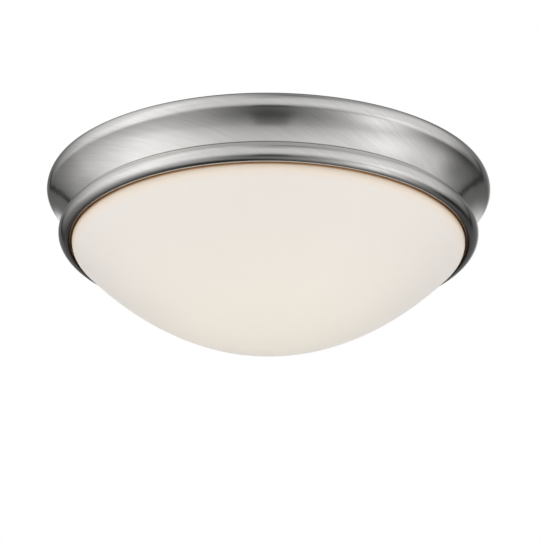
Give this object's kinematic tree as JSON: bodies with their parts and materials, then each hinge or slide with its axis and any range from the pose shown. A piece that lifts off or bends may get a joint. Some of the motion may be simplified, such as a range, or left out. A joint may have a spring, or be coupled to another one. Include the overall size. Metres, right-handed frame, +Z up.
{
  "type": "flush mount ceiling light",
  "caption": "Round flush mount ceiling light: a brushed nickel pan with a rolled edge and cove, a bead ring and an opal glass bowl over screw-cap lamps.",
  "frame": {"origin": "centre of the ceiling plane, where the flat back of the pan meets the ceiling", "axes": "+Z up through the ceiling, along the axis of the round pan and bowl; +X along the stud bar and the lamps"},
  "size_m": [0.33, 0.33, 0.1264],
  "materials": {
    "brushed_nickel": "brushed nickel plate",
    "opal_glass": "satin opal glass",
    "zinc_steel": "bright zinc",
    "spring_steel": "tempered spring steel",
    "green_zinc": "green dyed zinc",
    "copper": "bare copper",
    "brass": "plain brass",
    "cap_metal": "rolled aluminium",
    "porcelain": "glazed porcelain",
    "lamp_white": "white diffusing coat inside",
    "cap_glass": "black glass",
    "black_nylon": "moulded nylon",
    "black_wire": "extruded insulation",
    "white_wire": "extruded insulation",
    "glass_wool": "pressed glass wool",
    "silicone": "moulded silicone"
  },
  "bodies": {
    "fixture": {"pan": "brushed_nickel", "insulation_pad": "glass_wool", "wire_bushing": "black_nylon", "stud_bar": "zinc_steel", "bar_pivot": "zinc_steel", "mounting_studs": "zinc_steel", "stud_nuts": "zinc_steel", "ground_screw": "green_zinc", "ground_terminal": "copper", "ground_wire": "copper", "bracket_rivets": "zinc_steel", "holder_screws": "zinc_steel", "black_lead_1": "black_wire", "black_lead_2": "black_wire", "white_lead_1": "white_wire", "white_lead_2": "white_wire", "ring_catch_1": "spring_steel", "ring_catch_2": "spring_steel", "ring_catch_3": "spring_steel", "holder_bracket_1": "zinc_steel", "lamp_holder_1": "porcelain", "screw_shell_1": "cap_metal", "centre_contact_1": "brass", "holder_bracket_2": "zinc_steel", "lamp_holder_2": "porcelain", "screw_shell_2": "cap_metal", "centre_contact_2": "brass"},
    "box_bar": {"box_bar": "zinc_steel"},
    "ring": {"glass_ring": "brushed_nickel", "glass_bowl": "opal_glass", "glass_gasket": "silicone", "glass_snap_ring": "spring_steel"},
    "lamp_1_tip": {"lamp_tip_1": "brass"},
    "lamp_1": {"lamp_glass_1": "lamp_white", "lamp_cap_1": "cap_metal", "lamp_insulator_1": "cap_glass"},
    "lamp_2_tip": {"lamp_tip_2": "brass"},
    "lamp_2": {"lamp_glass_2": "lamp_white", "lamp_cap_2": "cap_metal", "lamp_insulator_2": "cap_glass"}
  },
  "joints": [
    {"name": "bar_swivel", "type": "hinge", "parent": "fixture", "child": "box_bar", "pos_m": [0, 0, 0], "axis": [0, 0, 1], "range_deg": [-65, 65]},
    {"name": "ring_drop", "type": "slide", "parent": "fixture", "child": "ring", "axis": [0, 0, -1], "range_m": [0, 0.1], "deforming": ["ring_catch_1", "ring_catch_2", "ring_catch_3"]},
    {"name": "lamp_1_out", "type": "slide", "parent": "fixture", "child": "lamp_1_tip", "axis": [-1, 0, 0], "range_m": [0, 0.0236]},
    {"name": "lamp_1_turn", "type": "hinge", "parent": "lamp_1_tip", "child": "lamp_1", "pos_m": [0, 0.038, -0.054], "axis": [-1, 0, 0], "range_deg": [0, 2340]},
    {"name": "lamp_2_out", "type": "slide", "parent": "fixture", "child": "lamp_2_tip", "axis": [1, 0, 0], "range_m": [0, 0.0236]},
    {"name": "lamp_2_turn", "type": "hinge", "parent": "lamp_2_tip", "child": "lamp_2", "pos_m": [0, -0.038, -0.054], "axis": [1, 0, 0], "range_deg": [0, 2340]}
  ],
  "couplings": [
    {"joint": "lamp_1_out", "follows": "lamp_1_turn", "m_per_rad": 0.00057773},
    {"joint": "lamp_2_out", "follows": "lamp_2_turn", "m_per_rad": 0.00057773}
  ]
}
